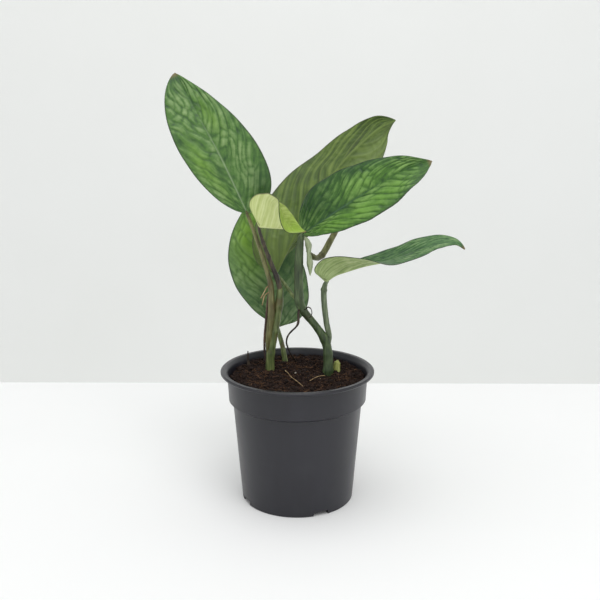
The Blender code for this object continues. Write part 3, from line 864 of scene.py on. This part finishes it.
def blobs(along, side, spots):
    """Soft patches on the blade: (along, side, half-length, half-width, strength)."""
    total = np.zeros_like(along)
    for at, across, long, wide, strength in spots:
        total += strength * np.exp(-(((along - at) / long) ** 2) - ((side - across) / wide) ** 2)
    return np.clip(total, 0, 1)


# %% Leaves: build one blade
def set_values(mesh, name, values):
    attribute = mesh.attributes.new(name, "FLOAT", "POINT")
    attribute.data.foreach_set("value", np.ascontiguousarray(values, dtype=np.float32))


def weight_group(piece, name, weights):
    group = piece.vertex_groups.new(name=name)
    for index, weight in enumerate(weights):
        group.add([index], float(weight), "REPLACE")
    return name


def make_blade(name, midrib, facing, left, right, fold, ear, look):
    """Lay a fine grid along the midrib, work out its quilting, keep the pattern on the mesh, and weight the
    groups that will puff and thicken it.
    """
    deselect()
    bpy.ops.mesh.primitive_grid_add(x_subdivisions=COLUMNS, y_subdivisions=ROWS, size=1)
    piece = take(name)
    mesh = piece.data
    corners = np.empty(len(mesh.vertices) * 3)
    mesh.vertices.foreach_get("co", corners)
    corners = corners.reshape(-1, 3)
    row = np.rint((corners[:, 1] + 0.5) * ROWS).astype(int)
    side = corners[:, 0] * 2
    side = np.sign(side) * np.abs(side) ** 0.92
    along_rows, place, forward, across, off, length = midrib_frames(midrib, facing)
    along = along_rows[row]
    right_half = side > 0
    width = np.where(right_half, half_width(along, *right), half_width(along, *left))
    tilt = np.radians(along_list(fold, along_rows))[row]
    reach = np.abs(side) * width
    crease = np.sqrt(reach ** 2 + 1.2 ** 2) - 1.2
    rise = crease * np.sin(tilt) + look.get("cup", 0.0) * reach * side ** 2
    swing = np.sin(along * look.get("waves", 5) * 2 * pi + np.sign(side) + 1)
    wave = look.get("wave", 0.6) * side ** 4 * swing
    widest = np.where(right_half, right[0], left[0])
    sweep_back = ear * (reach / widest) ** 1.3 * (1 - along) ** 4
    where = (place[row] + across[row] * (side * width * np.cos(tilt))[:, None]
             + off[row] * (rise + wave * np.minimum(1, width / 8))[:, None]
             - forward[row] * sweep_back[:, None]) * MM

    widest_left, widest_right = left[0], right[0]
    dome_r, vein_r, lane_r = quilting(along, side, widest_right, length, *look["right"], look["seed"])
    dome_l, vein_l, lane_l = quilting(along, side, widest_left, length, *look["left"], look["seed"] + 10)
    dome = np.where(right_half, dome_r, dome_l)
    vein = np.where(right_half, vein_r, vein_l)
    rib = np.exp(-((reach / 0.6) ** 2))
    calm = np.clip(reach / 2.2, 0, 1) * (1 - np.abs(side) ** 10) * np.clip((1 - along) * 14, 0, 1)
    dome, vein = dome * calm, vein * calm
    mesh.vertices.foreach_set("co", where.ravel())
    set_values(mesh, "dome", dome)
    set_values(mesh, "vein", vein)
    set_values(mesh, "rib", rib)
    set_values(mesh, "along", along)
    set_values(mesh, "edge", np.abs(side))
    set_values(mesh, "side", side)
    set_values(mesh, "lane", np.where(right_half, lane_r, lane_l))
    # Patches of painted glow and painted shade, kept on the mesh for the finishes.
    set_values(mesh, "glow", blobs(along, side, look.get("glow", ())))
    set_values(mesh, "shade", blobs(along, side, look.get("shade", ())))
    mesh.update()
    puff = weight_group(piece, "puff", np.clip(0.25 + 0.75 * dome - 0.6 * rib - 0.25 * vein, 0, 1))
    near_midrib = np.exp(-((reach / 2.0) ** 2))
    thick = weight_group(piece, "thick", np.clip(0.30 + 0.7 * near_midrib * (1 - 0.6 * along), 0, 1))
    return piece, puff, thick


def finish_blade(piece, puff, thick, quilt):
    """Puff the cells, give the blade its thickness, and round it off."""
    use_modifier(piece, "DISPLACE", strength=quilt * MM, mid_level=0.0, vertex_group=puff)
    use_modifier(piece, "SOLIDIFY", thickness=1.5 * MM, offset=-0.6, vertex_group=thick,
                 thickness_vertex_group=0.0, material_offset=1, material_offset_rim=0)
    pick(piece)
    bpy.ops.object.shade_smooth()
    return piece

# %% [markdown]
# Both faces of a leaf need their own finish. The upper face is waxy: deep green in the
# sunken veins, mid green on the slopes, silver-green on top of each cell, with a painted yellow-green
# glow where light would come through and patches of painted shade. The underside is matt and
# paler, with raised pale veins and patches of painted light and shade.


# %% Leaves: finishes of the two faces
def leaf_upper(name, deep, mid, silver, glow, shade, rib="#9DB08A", rough=0.36):
    made = Finish(name, roughness=rough)
    dome, vein = made.read("dome"), made.read("vein")
    blotch = made.noise(230, detail=4)
    cloud = made.noise(60, detail=2)
    drawn = made.streaks(2.6, 3.2)
    mottle = made.math("ADD", made.math("MULTIPLY", blotch, 0.5), made.math("MULTIPLY", drawn, 0.5))
    lifted = made.math("ADD", made.math("MULTIPLY", dome, 0.22), made.math("MULTIPLY", mottle, 0.86))
    base = made.ramp(lifted, (0.33, deep), (0.50, mid), (0.73, silver))
    # Painted light: a yellow-green glow in the patches listed for each leaf, where light would come through
    # the blade.
    painted_glow_mask = made.math("MULTIPLY", made.read("glow"), made.ramp(lifted, (0.25, 0.35), (0.7, 1.0)))
    base = made.mix(painted_glow_mask, base, glow)
    # Painted shade: the patches listed for each leaf turn towards the shade colour, broken up by clouds.
    painted_shade_mask = made.math("MULTIPLY", made.read("shade"), made.ramp(cloud, (0.35, 0.65), (0.6, 1.0)))
    base = made.mix(painted_shade_mask, base, shade)
    base = made.mix(made.math("MULTIPLY", vein, 0.34), base, deep)
    rib_fade = made.ramp(made.read("along"), (0.35, 0.65), (0.75, 0.0))
    rib_tone = made.math("MULTIPLY", made.read("rib"), rib_fade)
    base = made.mix(rib_tone, base, rib)
    margin = made.ramp(made.read("edge"), (0.955, 0.0), (0.99, 0.85))
    tip = made.ramp(made.read("along"), (0.965, 0.0), (0.99, 0.9))
    base = made.mix(margin, base, "#33402C")
    base = made.mix(tip, base, "#7A6A48")
    fine = made.noise(1300, detail=3)
    made.shader.inputs["Specular IOR Level"].default_value = 0.3
    return made.paint(base, rough=made.ramp(blotch, (0.3, rough - 0.05), (0.7, rough + 0.12)),
                      height=fine, depth=0.12 * MM, strength=0.35)


def leaf_under(name, dark, mid, pale, shade, rough=0.55):
    made = Finish(name, roughness=rough)
    dome, vein = made.read("dome"), made.read("vein")
    cloud = made.noise(110, detail=3)
    drawn = made.streaks(1.7, 0.9, detail=2.0)
    fine = made.noise(1100, detail=3)
    base = made.ramp(made.math("ADD", made.math("MULTIPLY", drawn, 0.7), made.math("MULTIPLY", cloud, 0.3)),
                     (0.38, dark), (0.50, mid), (0.66, pale))
    # Painted light and shade: the patches listed for each leaf take the fourth colour. It is lighter than the
    # mid green on the olive back and darker on the others.
    base = made.mix(made.math("MULTIPLY", made.read("shade"), 0.75), base, shade)
    streak = made.math("ADD", made.math("MULTIPLY", vein, 0.8), made.math("MULTIPLY", dome, 0.15))
    base = made.mix(made.math("MULTIPLY", streak, 0.75), base, pale)
    base = made.mix(made.math("MULTIPLY", made.read("rib"), 0.8), base, pale)
    base = made.mix(made.ramp(made.read("edge"), (0.965, 0.0), (0.99, 0.8)), base, "#4A4A34")
    return made.paint(base, height=fine, depth=0.12 * MM, strength=0.3)


# %% Leaves: colours of each leaf
# An upper palette gives deep, mid and silver greens, the colour of the painted glow, the colour of the
# painted shade, and may add a midrib colour.
SILVERED = ("#365630", "#557B3C", "#8AA56C", "#729B36", "#2F4F2C")
VIVID = ("#254426", "#456C2E", "#84A75E", "#6C9C38", "#27452A", "#4E6E56")
MOTTLED = ("#43633F", "#688854", "#95AE7C", "#83AE40", "#2C4828")
YOUNG = ("#8FA352", "#A6B862", "#C4D184", "#8DB428", "#7C9844")
# A back palette gives dark, mid and pale greens, then the colour of its painted light and shade patches.
BACKS = {
    "leaf_back_olive": ("#2C410C", "#425C18", "#6E8338", "#7C9150"),
    "leaf_back_pale": ("#748C4E", "#90A765", "#BECB94", "#5A7040"),
    "leaf_back_green": ("#5B7840", "#7C9656", "#A9BA82", "#647F4C"),
    "leaf_back_young": ("#B0BE70", "#C4D084", "#DAE3A4", "#A8B668"),
}

# %% [markdown]
# Each leaf now gets its own line: the midrib's points from stalk to tip, the way its upper face
# looks, the outline of its two halves, the fold, and how its veins run. "left" and "right" inside
# the look are the number of side veins, how far they sweep towards the tip, and the cells between
# them. Patches of painted glow and of painted shade are placed as (along, side, length, width,
# strength); on the olive underside the shade patches paint light instead.

# %% Leaves: shapes and looks
LEAVES = {
    "leaf_upper_left": dict(
        midrib=[(-37.8, 0, 226.9), (-50.4, -4, 255.8), (-60.1, -4, 276), (-73, 0, 299.3), (-82.8, 6, 316.2),
                (-90.4, 12, 329.1)],
        facing=[(0.15, -0.96, 0.24), (0.16, -0.97, 0.18)],
        left=(25.8, 0.76, 0.67), right=(29.3, 0.37, 0.95), fold=(9, 9), ear=4,
        upper=SILVERED, under="leaf_back_green", slot="leaf_face", quilt=1.2,
        look=dict(seed=3, left=(10, 0.34, 3.0), right=(8, 0.66, 2.4), cup=-0.05, wave=0.5,
                  glow=[(0.42, -0.62, 0.16, 0.22, 0.8), (0.66, 0.34, 0.12, 0.2, 0.7),
                        (0.2, -0.5, 0.1, 0.2, 0.3)],
                  shade=[(0.12, 0.75, 0.14, 0.3, 0.7), (0.93, -0.2, 0.08, 0.6, 0.4),
                         (0.3, -0.25, 0.05, 0.15, 0.5)])),
    "leaf_right": dict(
        midrib=[(3.9, 0, 210.3), (15.5, -8, 219.8), (35.1, -14, 233.9), (50.8, -17, 244.4), (74.1, -20, 259),
                (96.5, -20, 266.9)],
        facing=[(-0.26, -0.76, 0.6), (0.01, -0.73, 0.68)],
        left=(28.3, 0.42, 0.92), right=(26.7, 0.98, 0.73), fold=(18, 18), ear=2,
        upper=VIVID, under="leaf_back_green", slot="leaf_face", quilt=1.3,
        look=dict(seed=21, left=(11, 0.52, 4.0), right=(12, 0.42, 4.6), cup=-0.1, wave=0.5,
                  glow=[(0.35, 0.6, 0.3, 0.35, 0.75), (0.6, -0.3, 0.25, 0.3, 0.45),
                        (0.7, 0.5, 0.2, 0.3, 0.5)],
                  shade=[(0.18, -0.5, 0.16, 0.5, 0.75), (0.45, -0.9, 0.3, 0.2, 0.5),
                         (0.3, 0.02, 0.2, 0.12, 0.5)])),
    "leaf_back": dict(
        midrib=[(-17.2, 25, 176.2), (-9.3, 30, 192.2), (0.2, 36, 208.2), (17.7, 44, 237.6), (36.1, 52, 261.6),
                (52.2, 57, 277.2), (65.9, 60, 288.2), (78.2, 62, 294.4)],
        facing=[(-0.6, 0.7, 0.35), (-0.1, 0.97, 0.1), (0.53, 0.85, -0.09), (0.72, 0.4, 0.57)],
        left=(28.0, 1.3, 0.9), right=(36.5, 0.46, 0.8), fold=(45, 12), ear=14,
        upper=VIVID, under="leaf_back_olive", slot="leaf_back", quilt=1.0,
        look=dict(seed=33, left=(9, 0.55, 2.2), right=(9, 0.60, 2.0), cup=-0.02, wave=0.4,
                  glow=[(0.6, 0.4, 0.2, 0.4, 0.5)],
                  shade=[(0.08, 0.3, 0.16, 0.9, 0.45), (0.74, -0.62, 0.2, 0.42, 0.95)])),
    "leaf_lower_left": dict(
        midrib=[(-16.6, 41.0, 128.6), (-20.6, 46, 145.1), (-24.9, 52, 165), (-29.1, 58, 189.1),
                (-32.3, 61, 212),
                (-34.6, 62, 233.3)],
        facing=[(0.48, -0.86, 0.18), (0, -0.99, 0.16)],
        left=(30.5, 0.9, 0.91), right=(33.7, 0.38, 0.9), fold=(5, 5), ear=5,
        upper=MOTTLED, under="leaf_back_green", slot="leaf_face", quilt=1.2,
        look=dict(seed=47, left=(9, 0.42, 3.2), right=(9, 0.45, 3.2), cup=-0.06, wave=0.5,
                  glow=[(0.82, -0.4, 0.2, 0.6, 1.0), (0.55, -0.4, 0.25, 0.5, 0.55)],
                  shade=[(0.12, -0.2, 0.2, 0.9, 0.6), (0.5, 0.6, 0.4, 0.4, 0.35)])),
    "leaf_low_right": dict(
        midrib=[(22.4, 10, 172.9), (29.1, 10, 177.6), (36.8, 9, 180.6), (52, 7, 185.7), (67.2, 5, 189.2),
                (80.6, 3, 193.8), (96.8, 1, 200.7), (107.9, 0, 204), (119.2, 0, 204.4), (127, 0, 199.8)],
        facing=[(-0.4, 0.38, 0.92), (-0.2, 0.05, 1), (0, -0.3, 0.95), (0, -0.42, 0.9), (0, -0.45, 0.9)],
        left=(13.5, 1.0, 0.8), right=(23.0, 0.34, 1.1), fold=(50, 34, 14, 8, 6), ear=11,
        upper=("#34553A", "#577F4C", "#90AD78", "#6E9B45", "#27452F"),
        under="leaf_back_pale", slot="leaf_back", quilt=0.9,
        look=dict(seed=59, left=(7, 0.85, 1.2), right=(7, 0.8, 1.2), cup=0.0, wave=0.3)),
    "leaf_young": dict(
        midrib=[(-27.8, -5, 217.8), (-19.5, -9, 217.6), (-10.5, -14, 217.6), (-1.6, -19, 217.2),
                (6.6, -23, 216.4)],
        facing=[(-0.2, 0.14, 1), (0, 0.14, 1), (0, 0.12, 1), (0, 0.05, 1), (0, -0.55, 0.85), (0, -0.45, 0.9)],
        left=(24.0, 0.4, 1.5), right=(28.0, 0.34, 0.6), fold=(70, 70, 68, 62, 32, 24), ear=18,
        upper=YOUNG, under="leaf_back_young", slot="young_leaf", quilt=0.35,
        look=dict(seed=71, left=(9, 0.5, 1.5), right=(9, 0.5, 1.5), cup=0.0, wave=0.2,
                  glow=[(0.85, 0, 0.25, 1.2, 0.9)])),
}

# %% Leaves: build them
under_finishes = {name: leaf_under(name, *shades) for name, shades in BACKS.items()}
for leaf_name, leaf in LEAVES.items():
    blade, puff, thick = make_blade(
        leaf_name + "_blade", leaf["midrib"], leaf["facing"], leaf["left"], leaf["right"], leaf["fold"],
        leaf["ear"], leaf["look"])
    blade.data.materials.clear()
    blade.data.materials.append(leaf_upper(leaf_name + "_upper_face", *leaf["upper"]))
    blade.data.materials.append(under_finishes[leaf["under"]])
    finish_blade(blade, puff, thick, leaf["quilt"])
    settle(blade, None, leaf["slot"], leaf_name)
    solid_low, solid_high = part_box(leaf_name)
    print("   solid", [round(v / MM) for v in (*solid_low, *solid_high)])
